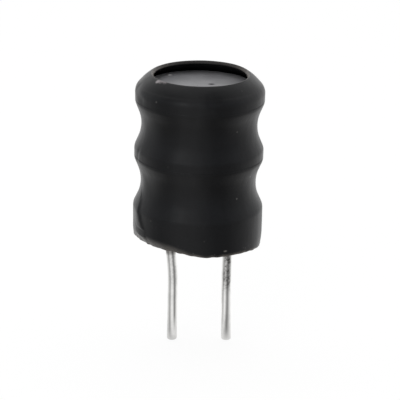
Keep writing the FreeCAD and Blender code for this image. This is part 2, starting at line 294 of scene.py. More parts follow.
def put_mesh(name, parts, material, attributes=None):
    """Joins grids of points into one mesh: four-sided faces between rows, fans at the poles.

    A part is (points, wrap, start, end): points is rows x columns x 3, its columns always close
    on themselves, its rows do if wrap is true, and start and end are poles or None.
    """
    vertices, loops, sizes, base = [], [], [], 0
    for points, wrap, start, end in parts:
        rows, columns = points.shape[:2]
        index = base + np.arange(rows * columns).reshape(rows, columns)
        upper = np.roll(index, -1, axis=0) if wrap else index[1:]
        lower = index if wrap else index[:-1]
        quads = np.stack(
            [lower, np.roll(lower, -1, axis=1), np.roll(upper, -1, axis=1), upper], axis=-1
        ).reshape(-1, 4)
        vertices.append(points.reshape(-1, 3))
        loops.append(quads.ravel())
        sizes.append(np.full(len(quads), 4))
        base += rows * columns
        for pole, ring, turn in ((start, index[0], 1), (end, index[-1], -1)):
            if pole is None:
                continue
            fan = np.stack([np.roll(ring, -turn), ring, np.full(columns, base)], axis=-1)
            vertices.append(np.array(pole, dtype=float).reshape(1, 3))
            loops.append(fan.ravel())
            sizes.append(np.full(columns, 3))
            base += 1
    mesh = bpy.data.meshes.new(name)
    points, corners, sizes = np.concatenate(vertices), np.concatenate(loops), np.concatenate(sizes)
    mesh.vertices.add(len(points))
    mesh.vertices.foreach_set("co", points.astype(np.float32).ravel())
    mesh.loops.add(len(corners))
    mesh.loops.foreach_set("vertex_index", corners.astype(np.int32))
    mesh.polygons.add(len(sizes))
    starts = np.concatenate([[0], np.cumsum(sizes)[:-1]])
    mesh.polygons.foreach_set("loop_start", starts.astype(np.int32))
    mesh.polygons.foreach_set("use_smooth", np.ones(len(sizes), dtype=bool))
    mesh.update(calc_edges=True)
    mesh.validate()
    for key, values in (attributes or {}).items():
        layer = mesh.attributes.new(key, "FLOAT", "POINT")
        layer.data.foreach_set("value", values.astype(np.float32).ravel())
    mesh.materials.append(material)
    piece = bpy.data.objects.new(name, mesh)
    bpy.context.scene.collection.objects.link(piece)
    return piece


def revolved(rows, azimuth):
    """A grid of (radius, height) pairs, each column turned to its azimuth."""
    radius, height = rows[..., 0], rows[..., 1]
    return np.stack([radius * np.cos(azimuth), radius * np.sin(azimuth), height], axis=-1)


def turned(radius, height, columns, centre):
    """A profile (radius, height) turned about the upright line through a centre at each height."""
    angle = np.linspace(0, 2 * np.pi, columns, endpoint=False)
    profile = np.stack([radius, height], axis=-1)[:, None, :]
    points = revolved(profile * np.ones((1, columns, 1)), angle)
    points[..., :2] += centre[:, None, :]
    return points


def tube(path, across, radius, columns=14):
    """A round tube along a path of points.

    Each ring is radius * (across cos a + beside sin a) about its point, where beside is the
    path's direction crossed with across, so the ring turns the same way all along.
    """
    along = np.gradient(path, axis=0)
    along /= np.linalg.norm(along, axis=1, keepdims=True)
    across = across - (across * along).sum(axis=1, keepdims=True) * along
    across /= np.linalg.norm(across, axis=1, keepdims=True)
    beside = np.cross(along, across)
    angle = np.linspace(0, 2 * np.pi, columns, endpoint=False)[None, :, None]
    radius = np.broadcast_to(radius, len(path))[:, None, None]
    ring = across[:, None, :] * np.cos(angle) + beside[:, None, :] * np.sin(angle)
    return path[:, None, :] + radius * ring


def arc_run(centre, radius, start, end, count):
    """Points along an arc, with the directions of their angles; a hollow's radius is negative."""
    angle = np.linspace(start, end, count, endpoint=False)
    facing = np.stack([np.cos(angle), np.sin(angle)], axis=1)
    return np.array(centre) + radius * facing, facing


def straight_run(start, end, facing, count):
    """Points along a straight run of the wall, which faces one way."""
    step = np.linspace(0, 1, count, endpoint=False)[:, None]
    points = (1 - step) * np.array(start) + step * np.array(end)
    return points, np.tile(facing, (count, 1))


def half_waist(sizes, hump, floor, waist_height):
    """The wall from a flange's hump to a waist, as points and outward directions.

    A turn over the flange's edge and a hollow, joined by the straight slope that touches both.
    Its lean is the bearing of one centre from the other, less the angle whose cosine is the
    sum of the radii over the distance between them.
    """
    way = 1 if waist_height > floor else -1
    start = floor - way * sizes.shoulder_depth
    turn = sizes.shoulder_turn
    rise = abs(waist_height - start)
    widest = 2 * math.atan2(hump - sizes.waist, rise)
    hollow = sizes.hollow_share * (rise / math.sin(widest) - turn)
    over = np.array([hump - turn, start])
    under = np.array([sizes.waist + hollow, waist_height])
    gap = under - over
    lean = math.atan2(rise, gap[0]) - math.acos((turn + hollow) / math.hypot(*gap))
    facing = np.array([math.cos(lean), way * math.sin(lean)])
    runs = [
        arc_run(over, turn, 0, way * lean, 8),
        straight_run(over + turn * facing, under - hollow * facing, facing, 6),
        arc_run(under, -hollow, way * lean, 0, 14),
    ]
    points = np.concatenate([run[0] for run in runs] + [[[sizes.waist, waist_height]]])
    facings = np.concatenate([run[1] for run in runs] + [[[1.0, 0.0]]])
    return points, facings


def wall_profile(sizes):
    """The sleeve's outside from the hem's top to the crest of the lip, with its directions."""
    points, facings = [], []

    def add(run, facing):
        points.append(run)
        facings.append(facing)

    outward = np.array([1.0, 0.0])
    low, high = sizes.bottom_floor, sizes.middle_floor
    add(*straight_run((sizes.hump_bottom, sizes.hem_top),
                      (sizes.hump_bottom, low - sizes.shoulder_depth), outward, 10))
    for below, floor, above, ceiling in (
        (sizes.hump_bottom, low, sizes.hump_middle, high),
        (sizes.hump_middle, sizes.middle_ceiling, sizes.hump_top, sizes.top_floor),
    ):
        waist_height = (floor + ceiling) / 2
        add(*half_waist(sizes, below, floor, waist_height))
        run, facing = half_waist(sizes, above, ceiling, waist_height)
        add(run[-2::-1], facing[-2::-1])
        if above == sizes.hump_middle:
            add(*straight_run((above, ceiling + sizes.shoulder_depth),
                              (above, sizes.middle_ceiling - sizes.shoulder_depth), outward, 5))
    start = CORE_HIGH.z - sizes.top_depth
    add(*straight_run((sizes.hump_top, sizes.top_floor + sizes.shoulder_depth),
                      (sizes.hump_top, start), outward, 6))
    lean = sizes.lip_lean
    over = np.array([sizes.hump_top - sizes.top_turn, start])
    facing = np.array([math.cos(lean), math.sin(lean)])
    foot = over + sizes.top_turn * facing
    add(*arc_run(over, sizes.top_turn, 0, lean, 16))
    crest_x = sizes.lip_opening + sizes.wall * facing[0]
    crest = np.array([crest_x, foot[1] + (foot[0] - crest_x) / math.tan(lean)])
    run, sides = straight_run(foot, crest, facing, 14)
    step = np.linspace(0, 1, 14, endpoint=False)[:, None]
    add(run + facing * sizes.lip_crown * 4 * step * (1 - step), sides)
    return np.concatenate(points), np.concatenate(facings), crest, facing


def lip_end(sizes, crest, facing):
    """The turned-in end: two rounded edges with the square-cut face between them."""
    small = sizes.lip_rounding
    along = np.array([-facing[1], facing[0]])
    outer = crest - small * (facing + along)
    inner = crest - sizes.wall * facing - small * (along - facing)
    bearing = math.atan2(facing[1], facing[0])
    first = arc_run(outer, small, bearing, bearing + math.pi / 2, 5)
    last = arc_run(inner, small, bearing + math.pi / 2, bearing + math.pi, 6)
    points = np.concatenate([first[0], last[0]])
    cut = np.concatenate([np.linspace(0, 1, 5), np.linspace(1, 0, 6)])
    return points, cut


def hem_wall(sizes, azimuth, top_offset):
    """The outside, inside and cut face of the hem, with its marks, from the cut edge upwards.

    Heights slide from the cut edge's height at each azimuth to the hem's top. The radius goes
    in below the crease by tuck * depth^1.6 and out again in a thin burr, and the cut edge's
    outer corner is rounded by a quarter circle.
    """
    level = np.zeros(len(azimuth))
    edge = round_curve(CUT_EDGE, azimuth, 4.0)
    edge = edge + 0.022 * MM * waves(azimuth, level, 3, 16, 46, 0.0)
    crease = np.maximum(round_curve(CREASE, azimuth, 5.0), edge + 0.25 * MM)
    tuck = round_curve(TUCK, azimuth, 6.0)
    step = np.linspace(0, 1, 40)[:, None] ** 1.6
    height = edge + (sizes.hem_top - edge) * step
    above = height - edge
    depth = np.clip((crease - height) / (crease - edge), 0.0, 1.0)
    burr = sizes.burr * smooth(1 - above / (0.13 * MM))
    ragged = 0.6 + 0.4 * waves(azimuth, level, 8, 12, 60, 0.0)
    burr = burr * np.clip(tuck / (0.16 * MM), 0.12, 1.0) * np.clip(ragged, 0.1, 1.3)
    corner = np.clip(1 - above / sizes.edge_rounding, 0.0, 1.0)
    burr = burr - sizes.edge_rounding * (1 - np.sqrt(1 - corner ** 2))
    radius = sizes.hump_bottom - tuck * depth ** 1.6 + burr + top_offset * smooth(step)
    radius = radius - dent_depth(azimuth, height)
    radius = np.minimum(radius, sizes.hump_bottom + 0.03 * MM)
    outside = np.stack([radius, height], axis=-1)[:-1]
    inside = np.stack([radius - sizes.wall - burr * 0.6, height], axis=-1)[:-1:3][::-1]
    inside[-1, :, 1] += 0.03 * MM
    face = (inside[-1] + 0.5 * (outside[0] - inside[-1]))[None]
    face[..., 1] += 0.01 * MM
    worn = 0.62 + 0.38 * waves(azimuth, level, 17, 10, 40, 0.0)
    marks = {
        "cut": np.clip(1 - above / (0.30 * MM), 0, 1) ** 1.2 * np.clip(worn, 0.1, 1.0),
        "hem": smooth(1 - above / (1.0 * MM)),
        # The tucked band's share; the material lightens it as a painted reflection.
        "band": smooth(depth * 1.6) * np.clip(tuck / (0.3 * MM), 0, 1),
    }
    return outside, inside, face, {key: values[:-1] for key, values in marks.items()}


def sleeve_surface(sizes, columns=320):
    """The sleeve's closed skin: rows run up the outside, over the lip and down the bore.

    Above the hem a point is radius(row) + unevenness * waves along the wall's direction. The
    marks are the share of cut face, hem, tucked band and painted light from above at each point.
    """
    azimuth = np.linspace(-np.pi, np.pi, columns, endpoint=False)
    points, facings, crest, lip_facing = wall_profile(sizes)
    lip, cut_lip = lip_end(sizes, crest, lip_facing)
    around = np.ones((1, columns, 1))
    soft = waves(azimuth[None, :], points[:, 1:2], 5, 14, 5, 0.9)
    fine = waves(azimuth[None, :], points[:, 1:2], 11, 18, 14, 2.6)
    fade = smooth((crest[1] - points[:, 1:2]) / (1.2 * MM))
    offset = sizes.unevenness * (soft + 0.25 * fine) * (0.35 + 0.65 * fade)
    offset = np.minimum(offset, 0.6 * sizes.unevenness) - dent_depth(azimuth, points[:, 1:2])
    outside = points[:, None, :] * around + facings[:, None, :] * offset[..., None]
    bore = (points - sizes.wall * facings)[::-1, None, :][::2] * around
    lip_rows = lip[:, None, :] * around
    rise = round_curve(LIP_RISE, azimuth, 10.0)
    foot = CORE_HIGH.z - sizes.top_depth
    for rows in (outside, bore, lip_rows):
        rows[..., 1] += rise * smooth((rows[..., 1] - foot) / (crest[1] - foot))
    hem_outside, hem_inside, face, hem_marks = hem_wall(sizes, azimuth, offset[:1])
    rows = np.concatenate([hem_outside, outside, lip_rows, bore, hem_inside, face])

    hem_end, wall_end, lip_end_row = np.cumsum([len(hem_outside), len(outside), len(lip_rows)])
    marks = {key: np.zeros(rows.shape[:2]) for key in ("cut", "hem", "band", "top_light_share")}
    for key, values in hem_marks.items():
        marks[key][:hem_end] = values
    # The lip's brown-grey cut face, lightened at the left and right by cos^4 of the azimuth as a
    # painted highlight.
    marks["cut"][wall_end:lip_end_row] = (0.12 + 0.42 * np.cos(azimuth) ** 4) * cut_lip[:, None]
    marks["cut"][-2:] = 1.0
    # Painted light from above: its share grows where the wall faces up, with fixed shares on the
    # hem and the lip.
    up = facings[:, 1:]
    dust_and_top_light = np.clip((up + 0.26) / 0.65, 0, 1) * np.clip(1.6 - 1.5 * up, 0.45, 1)
    marks["top_light_share"][:hem_end] = 0.4
    marks["top_light_share"][hem_end:wall_end] = dust_and_top_light
    marks["top_light_share"][wall_end:lip_end_row] = 0.6
    return revolved(rows, azimuth), {key: values.ravel() for key, values in marks.items()}


def lead_centre(side, height):
    """A lead's centre line, as (x, y) at each height: straight runs with softened bends."""
    x = soft_runs(LEAD_LINES[side], height / MM, BEND_WIDTH)
    return np.stack([x, np.zeros_like(x)], axis=-1)


def lead_surface(sizes, side, columns=40):
    """A lead as a turned rod about its bent centre line, with a rounded tip and top."""
    radius = sizes.lead / 2
    tip, top = LEAD_TIP, CORE_LOW.z + sizes.socket
    if side > 0:
        tip += sizes.right_shorter
    rounding = 0.16 * MM
    turn = np.linspace(0.12, 1, 7)[:0:-1] * np.pi / 2
    body = np.linspace(tip + rounding, top - 0.02 * MM, 150)[1:]
    height = np.concatenate([tip + rounding * (1 - np.sin(turn)), body])
    ring = np.concatenate([radius - rounding * (1 - np.cos(turn)), np.full(len(body), radius)])
    centre = lead_centre(side, height)
    points = turned(ring, height, columns, centre)
    start = (centre[0, 0], 0.0, tip)
    end = (centre[-1, 0], 0.0, top)
    return points, start, end


def lead_marks(points, side):
    """The shares of dark streak and painted root shadow at each point of a lead, then at its two
    poles.

    The streak is where the surface faces STREAK_AZIMUTH, and it fades out towards the tip. The
    root has a painted shadow down to where it fades out just under the core.
    """
    angle = np.linspace(0, 2 * np.pi, points.shape[1], endpoint=False)
    height = points[:, :1, 2] / MM
    facing = np.cos(angle - math.radians(STREAK_AZIMUTH))
    streak = smooth((facing - 0.55) / 0.35) * smooth((height + 5.6) / 1.8)
    streak = streak * (1.0 if side > 0 else 0.18)
    # Painted shadow: the root darkens just under the core.
    root = smooth((height + 1.85) / 0.45) * np.ones_like(streak)
    return {
        "streak": np.concatenate([streak.ravel(), [0.0, 0.0]]),
        "root": np.concatenate([root.ravel(), [0.0, 1.0]]),
    }


def section_surface(sizes, low, high, columns=144):
    """One wound section: a ring whose outside has the ridges of one helical layer.

    The outside's radius is that of a round wire at the place (height / pitch - azimuth / 2 pi)
    within its turn.
    """
    turns = int((high - low - 2 * sizes.window_gap) / sizes.wire)
    middle = (low + high) / 2
    low, high = middle - turns * sizes.wire / 2, middle + turns * sizes.wire / 2
    azimuth = np.linspace(0, 2 * np.pi, columns, endpoint=False)
    height = np.linspace(low, high, turns * 8 + 1)
    place = (height[:, None] - low) / sizes.wire - azimuth / (2 * np.pi)
    across = (place % 1.0 - 0.5) * 1.9
    radius = sizes.winding - sizes.wire / 2 * (1 - np.sqrt(1 - across ** 2))
    rows = np.stack([radius, np.broadcast_to(height[:, None], radius.shape)], axis=-1)
    inner = np.array([[sizes.post, high], [sizes.post, low]])[:, None, :]
    return revolved(np.concatenate([rows, inner * np.ones((1, columns, 1))]), azimuth)


def tail_tube(sizes, side, top):
    """An end of the wire: down past the core, round a bend, in to its lead and round it.

    The run goes along the line that touches the turns round the lead. The turns are a helix
    about the lead's centre line, which drops one wire's thickness each turn.
    """
    reach = sizes.lead / 2 + sizes.wire / 2
    centre_x = abs(lead_centre(side, np.array([sizes.wrap_top]))[0, 0])
    gap = sizes.tail - centre_x
    swing = math.asin(reach / gap)
    run = math.sqrt(gap ** 2 - reach ** 2)
    level = sizes.wrap_top - sizes.wire / 2
    bend = sizes.tail_bend
    inward = np.array([-math.cos(swing), -math.sin(swing), 0.0])
    foot = np.array([sizes.tail, 0.0, 0.0])
    drop = np.linspace(top, level + bend, 30, endpoint=False)
    down = foot + np.stack([0 * drop, 0 * drop, drop], axis=1)
    turn = np.linspace(0, np.pi / 2, 12, endpoint=False)
    corner = foot + inward * (bend * (1 - np.cos(turn)))[:, None]
    corner[:, 2] = level + bend * (1 - np.sin(turn))
    way = np.linspace(bend, run, 14, endpoint=False)
    level_run = foot + inward * way[:, None]
    level_run[:, 2] = level
    touch = math.atan2(-run * math.sin(swing), gap - run * math.cos(swing))
    angle = np.linspace(0, 2 * np.pi * sizes.wraps * 0.96, 90)
    helix = np.empty((len(angle), 3))
    helix[:, 0] = centre_x + reach * np.cos(touch - angle)
    helix[:, 1] = reach * np.sin(touch - angle)
    helix[:, 2] = level - sizes.wire * angle / (2 * np.pi)
    path = np.concatenate([down, corner, level_run, helix])
    plane = np.cross(inward, (0.0, 0.0, 1.0))
    straight = len(down) + len(corner) + len(level_run)
    radial = helix - np.array([centre_x, 0.0, 0.0])
    radial[:, 2] = 0.0
    sign = np.sign((radial[0] * plane).sum())
    across = np.concatenate([np.tile(plane * sign, (straight, 1)), radial])
    path = path * np.array([side, side, 1.0])
    across = across * np.array([side, side, 1.0])
    points = tube(path, across, sizes.wire / 2, 16)
    return points, False, path[0], path[-1]


def solder_surface(sizes, side):
    """Solder over a wrap: a profile that swells over the turns and runs thin along the lead."""
    wire, lead = sizes.wire, sizes.lead / 2
    top = sizes.wrap_top - 0.5 * wire
    low = sizes.wrap_top - (sizes.wraps + 0.7) * wire
    step = np.linspace(0, 1, 30)
    height = low + (top - low) * step
    swell = np.sin(np.pi * step ** 0.75) ** 0.55
    radius = lead + 0.015 * MM + (wire + sizes.solder_cover - 0.03 * MM) * swell
    centre = lead_centre(side, height)
    points = turned(radius, height, 48, centre)
    angle = np.linspace(0, 2 * np.pi, 48, endpoint=False)
    lumps = 1 + 0.035 * waves(angle[None, :], height[:, None], 21 + side, 8, 4, 4.0)
    points[..., :2] = centre[:, None, :] + (points[..., :2] - centre[:, None, :]) * lumps[..., None]
    return points, False, (centre[0, 0], 0, low), (centre[-1, 0], 0, top)


def bead_surface(sizes, side):
    """The resin at a lead's root: a shallow dome that creeps down the wire."""
    step = np.linspace(0, 1, 22)
    lead = sizes.lead / 2
    radius = lead + (sizes.bead - lead) * step
    creep = np.exp(-(radius - lead) / (0.07 * MM))
    depth = sizes.bead_depth * (np.sqrt(1 - step ** 2) * 0.8 + 0.2 * creep)
    height = CORE_LOW.z - np.maximum(depth, 0.0)
    under = np.array([lead * 0.9, sizes.bead])
    radius = np.concatenate([radius, under[::-1]])
    height = np.concatenate([height, [CORE_LOW.z + 0.01 * MM, CORE_LOW.z + 0.01 * MM]])
    centre = lead_centre(side, height)
    centre[:] = centre[0]
    return turned(radius, height, 48, centre), True, None, None


def feed(tree, socket, value):
    """Links an input to another node's output, or sets it. A colour is given as three values."""
    if isinstance(value, bpy.types.NodeSocket):
        tree.links.new(value, socket)
    else:
        socket.default_value = (*value, 1.0) if socket.type == "RGBA" else value


def add_node(tree, kind, links=None, **settings):
    """Adds a shader node of a kind to a tree, sets its options and feeds its inputs."""
    node = tree.nodes.new("ShaderNode" + kind)
    for key, value in settings.items():
        setattr(node, key, value)
    for key, value in (links or {}).items():
        feed(tree, node.inputs[key], value)
    return node


def add_mix(tree, share_of, first, second):
    """A mix of two colours."""
    links = {0: share_of, 6: first, 7: second}
    return add_node(tree, "Mix", links, data_type="RGBA").outputs[2]


class Nodes:
    """A short way to set up a material's nodes."""

    def __init__(self, name):
        self.material = bpy.data.materials.new(name)
        self.material.use_nodes = True
        self.tree = self.material.node_tree
        self.shader = self.tree.nodes["Principled BSDF"]
        self.place = self.node("TexCoord").outputs["Object"]

    def node(self, kind, links=None, **settings):
        """A new node in the material."""
        return add_node(self.tree, kind, links, **settings)

    def mark(self, name):
        """One of the piece's own marks, an attribute of its points."""
        return self.node("Attribute", attribute_name=name).outputs["Fac"]

    def noise(self, scale, detail, rough=0.6, stretch=(1, 1, 1)):
        """Noise over the object, stretched by a scale along each axis."""
        mapped = self.node("Mapping", {"Vector": self.place, "Scale": stretch})
        links = {"Vector": mapped.outputs[0], "Scale": scale, "Detail": detail, "Roughness": rough}
        return self.node("TexNoise", links).outputs["Fac"]

    def ramp(self, value, low, high, to_low=0.0, to_high=1.0):
        """Maps a range of values to another, and keeps within it."""
        ends = {"From Min": low, "From Max": high, "To Min": to_low, "To Max": to_high}
        return self.node("MapRange", {"Value": value, **ends}).outputs["Result"]

    def times(self, first, second):
        """The product of two values."""
        return self.node("Math", {0: first, 1: second}, operation="MULTIPLY").outputs[0]

    def mix(self, share_of, first, second):
        """A mix of two colours."""
        return add_mix(self.tree, share_of, first, second)

    def specks(self, scale, size, seed):
        """Small round specks: one where the nearest cell's centre is closer than a size."""
        moved = self.node("Mapping", {"Vector": self.place, "Location": (seed,) * 3})
        cells = self.node("TexVoronoi", {"Vector": moved.outputs[0], "Scale": scale})
        return self.ramp(cells.outputs["Distance"], size, size * 0.5)

    def spot(self, mark, squeeze=(1.0, 1.0, 1.0)):
        """One at a mark's place, falling to nought at its radius, squeezed by axis."""
        centre, radius = tuple(MM * value for value in mark[:3]), MM * mark[3]
        offset = self.place
        for operation, value in (("SUBTRACT", centre), ("MULTIPLY", squeeze)):
            links = {0: offset, 1: value}
            offset = self.node("VectorMath", links, operation=operation).outputs["Vector"]
        away = self.node("VectorMath", {0: offset}, operation="LENGTH").outputs["Value"]
        return self.ramp(away, radius, radius * 0.45)

    def bump(self, heights):
        """Stacks bumps, each a (value, distance in metres) pair, on the shader's normal."""
        normal = None
        for value, distance in heights:
            links = {"Height": value, "Distance": distance, "Strength": 1.0}
            if normal is not None:
                links["Normal"] = normal
            normal = self.node("Bump", links).outputs["Normal"]
        self.set(Normal=normal)

    def set(self, **values):
        """Feeds the shader's own inputs."""
        for key, value in values.items():
            feed(self.tree, self.shader.inputs[key.replace("_", " ")], value)
        return self.material


def shade(value, factor):
    """A colour times a factor."""
    return tuple(factor * part for part in value)


def tube_black(sizes):
    """Heat-shrink tube: satin black, painted light from above where it faces up, a painted
    reflection on the tucked band, and brown-grey cut faces.
    """
    make = Nodes("heat_shrink")
    cut = make.mark("cut")
    cloud = make.noise(260, 3.0)
    draw = make.noise(1500, 3.0, 0.55, (1, 1, 0.12))
    grain = make.noise(9000, 3.0, 0.7)
    base = make.mix(make.ramp(cloud, 0.35, 0.7), sizes.tube, shade(sizes.tube, 1.6))
    # Painted light from above: the tube turns a little towards a bluish grey where it faces up.
    top_light_share = make.mark("top_light_share")
    top_light_share = make.times(top_light_share, make.ramp(make.noise(700, 4.0), 0.3, 0.7, 0.75, 1.0))
    base = make.mix(make.times(top_light_share, 0.05), base, sizes.painted_top_light)
    dusty = make.times(make.specks(900, 0.11, 0.3), make.ramp(make.noise(420, 2.0), 0.56, 0.66))
    base = make.mix(make.times(dusty, 0.5), base, sizes.dust_and_top_light)
    hem = make.mark("hem")
    band = make.mark("band")
    # Painted reflection: the tucked band is lightened to grey.
    base = make.mix(make.times(band, 0.85), base, sizes.painted_band_reflection)
    frayed = make.times(hem, make.specks(2300, 0.16, 2.1))
    base = make.mix(make.times(frayed, 0.6), base, sizes.dust_and_top_light)
    fibre = make.ramp(make.noise(5200, 4.0, 0.75), 0.3, 0.75)
    worn = make.mix(fibre, sizes.cut, shade(sizes.cut, 2.4))
    base = make.mix(cut, base, worn)
    residue = make.noise(2600, 3.0, 0.7)
    for mark in RESIDUE:
        patch = make.times(make.spot(mark), make.ramp(residue, 0.30, 0.50))
        base = make.mix(patch, base, sizes.residue)
    scrap = make.times(make.spot(SCRAP, (0.9, 1.0, 2.0)), make.ramp(residue, 0.3, 0.6))
    base = make.mix(scrap, base, sizes.scrap)
    make.bump(((cloud, 0.00003), (draw, 0.000012), (grain, 0.0000045)))
    return make.set(
        Base_Color=base,
        Roughness=make.ramp(draw, 0.3, 0.7, 0.28, 0.37),
        Specular_IOR_Level=0.20,
    )


def ground_ferrite(sizes):
    """Ferrite: satin dark grey, fine grinding lines, pores, one pale grain and one near-black dot
    without gloss.
    """
    make = Nodes("ferrite")
    lines = make.noise(5200, 3.0, 0.6, (0.07, 1, 1))
    cloud = make.noise(420, 3.0)
    pores = make.specks(2600, 0.17, 1.7)
    base = make.mix(make.ramp(cloud, 0.3, 0.7), sizes.ferrite, shade(sizes.ferrite, 1.5))
    base = make.mix(make.times(pores, 0.7), base, shade(sizes.ferrite, 0.25))
    base = make.mix(make.spot(PALE_GRAIN), base, (0.85, 0.84, 0.84))
    # A near-black dot without gloss on the core's face.
    dark_dot = make.spot(DARK_DOT, (1.0, 1.5, 1.0))
    base = make.mix(dark_dot, base, (0.003, 0.003, 0.003))
    make.bump(((lines, 0.0000035), (make.noise(14000, 2.0), 0.0000022)))
    return make.set(
        Base_Color=base, Roughness=make.ramp(lines, 0.3, 0.7, 0.30, 0.42),
        Specular_IOR_Level=make.ramp(dark_dot, 0.0, 1.0, 0.8, 0.0),
    )


def bright_tin(sizes):
    """Tinned wire: bright metal with lengthwise draw marks, dull patches, a dark streak and a
    painted shadow at the root.
    """
    make = Nodes("tinned_wire")
    streak = make.mark("streak")
    draw = make.noise(5200, 4.0, 0.65, (1, 1, 0.035))
    cloud = make.noise(900, 3.0)
    base = make.mix(make.ramp(cloud, 0.35, 0.75), sizes.tin, shade(sizes.tin, 0.84))
    base = make.mix(make.times(streak, 0.6), base, STREAKED_TIN)
    # Painted shadow at the root of each lead, just under the core.
    root = make.mark("root")
    base = make.mix(make.times(root, 0.75), base, ROOT_SHADOW_TIN)
    mottled = make.times(streak, make.ramp(make.noise(3600, 4.0, 0.7), 0.47, 0.62))
    base = make.mix(mottled, base, MOTTLED_TIN)
    make.bump(((draw, 0.000002), (cloud, 0.000008)))
    return make.set(
        Base_Color=base, Metallic=1.0, Roughness=make.ramp(draw, 0.3, 0.7, 0.09, 0.16)
    )


def enamelled_copper(sizes):
    """Copper wire under clear enamel."""
    make = Nodes("enamelled_copper")
    cloud = make.noise(1400, 3.0)
    base = make.mix(make.ramp(cloud, 0.35, 0.7), sizes.copper, shade(sizes.copper, 0.55))
    make.bump(((make.noise(7000, 3.0), 0.000004),))
    return make.set(
        Base_Color=base, Metallic=1.0, Roughness=make.ramp(cloud, 0.3, 0.7, 0.24, 0.36),
        Coat_Weight=0.8, Coat_Roughness=0.12,
    )


def smooth_solder(sizes):
    """Solder: bright, a little frosted where it cooled last."""
    make = Nodes("solder")
    frost = make.noise(2600, 4.0, 0.65)
    base = make.mix(make.ramp(frost, 0.4, 0.7), sizes.solder, shade(sizes.solder, 0.7))
    make.bump(((frost, 0.000012),))
    return make.set(Base_Color=base, Metallic=1.0, Roughness=make.ramp(frost, 0.3, 0.7, 0.16, 0.38))


def dark_resin(sizes):
    """Epoxy: dark brown and glossy, with a few fine bubbles."""
    make = Nodes("resin")
    cloud = make.noise(1300, 3.0)
    base = make.mix(make.ramp(cloud, 0.35, 0.7), sizes.resin, shade(sizes.resin, 0.4))
    make.bump(((make.specks(5200, 0.2, 0.9), 0.00001), (cloud, 0.00003)))
    return make.set(
        Base_Color=base, Roughness=make.ramp(cloud, 0.3, 0.7, 0.16, 0.28), Specular_IOR_Level=0.5
    )


def settle(piece, slot, *nodes):
    """Hides the CAD parts that a piece stands for and hangs the piece on the root body. The slot is
    not used.
    """
    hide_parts(*nodes)
    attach(piece, "root")


class InductorCore(bpy.types.Operator):
    """Gives the ferrite core its ground and pressed surfaces"""

    bl_idname = "inductor.core"
    bl_label = "Ferrite core"

    def execute(self, context):
        material = ground_ferrite(context.scene.inductor_wire)
        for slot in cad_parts["drum_core"].material_slots:
            slot.material = material
        return {"FINISHED"}


class InductorWinding(bpy.types.Operator):
    """Builds the copper winding: two sections and two ends wrapped round the leads"""

    bl_idname = "inductor.winding"
    bl_label = "Winding"

    def execute(self, context):
        sizes, sleeve = context.scene.inductor_wire, context.scene.inductor_sleeve
        low = section_surface(sizes, sleeve.bottom_floor, sleeve.middle_floor)
        high = section_surface(sizes, sleeve.middle_ceiling, sleeve.top_floor)
        slot_x = np.linspace(sizes.winding - sizes.wire, sizes.post + sizes.wire, 12)
        slot_z = np.linspace(
            sleeve.middle_floor - sizes.wire, sleeve.middle_ceiling + sizes.wire, 12
        )
        path = np.stack([0 * slot_x, slot_x, slot_z], axis=1)
        crossing = tube(path, np.tile([1.0, 0.0, 0.0], (12, 1)), sizes.wire / 2)
        parts = [(low, True, None, None), (high, True, None, None)]
        parts.append((crossing, False, path[0], path[-1]))
        tops = {-1: sleeve.bottom_floor, 1: sleeve.middle_ceiling}
        for side in SIDES.values():
            parts.append(tail_tube(sizes, side, tops[side] + 2.2 * sizes.wire))
        piece = put_mesh("copper_winding", parts, enamelled_copper(sizes))
        settle(piece, "enamelled_copper", "coil_winding")
        return {"FINISHED"}


class InductorLeads(bpy.types.Operator):
    """Builds the two tinned leads, each with its own slight bend"""

    bl_idname = "inductor.leads"
    bl_label = "Leads"

    def execute(self, context):
        sizes = context.scene.inductor_wire
        material = bright_tin(sizes)
        for word, side in SIDES.items():
            points, start, end = lead_surface(sizes, side)
            marks = lead_marks(points, side)
            piece = put_mesh(f"{word}_lead", [(points, False, start, end)], material, marks)
            settle(piece, "tinned_wire", f"lead_{word}")
        return {"FINISHED"}


class InductorJoints(bpy.types.Operator):
    """Builds the solder over each wrap and the resin at each lead's root"""

    bl_idname = "inductor.joints"
    bl_label = "Solder and resin"

    def execute(self, context):
        sizes = context.scene.inductor_wire
        solder, resin = smooth_solder(sizes), dark_resin(sizes)
        for word, side in SIDES.items():
            joint = put_mesh(f"{word}_solder", [solder_surface(sizes, side)], solder)
            settle(joint, "solder", f"solder_{word}")
            bead = put_mesh(f"{word}_resin", [bead_surface(sizes, side)], resin)
            settle(bead, "resin", f"adhesive_{word}")
        return {"FINISHED"}


class InductorSleeve(bpy.types.Operator):
    """Builds the heat-shrink sleeve with its waists, lip and uneven cut edge"""

    bl_idname = "inductor.sleeve"
    bl_label = "Heat-shrink sleeve"

    def execute(self, context):
        sizes = context.scene.inductor_sleeve
        points, marks = sleeve_surface(sizes)
        piece = put_mesh("black_sleeve", [(points, True, None, None)], tube_black(sizes), marks)
        settle(piece, "sleeve", "shrink_sleeve")
        return {"FINISHED"}


def lamp(name, size, power, place):
    """A soft square lamp, aimed at the part's middle."""
    data = bpy.data.lights.new(name, "AREA")
    data.size = size
    data.energy = power
    lamp_object = bpy.data.objects.new(name, data)
    lamp_object.location = place
    aim = Vector(LAMP_AIM) - Vector(place)
    lamp_object.rotation_euler = aim.to_track_quat("-Z", "Y").to_euler()
    bpy.context.scene.collection.objects.link(lamp_object)


def seen_ray(tree):
    """One for camera, glossy and transmission rays, which see the floor's glow."""
    path = add_node(tree, "LightPath")
    total = path.outputs["Is Camera Ray"]
    for key in ("Is Glossy Ray", "Is Transmission Ray"):
        links = {0: total, 1: path.outputs[key]}
        total = add_node(tree, "Math", links, operation="MAXIMUM").outputs[0]
    return total


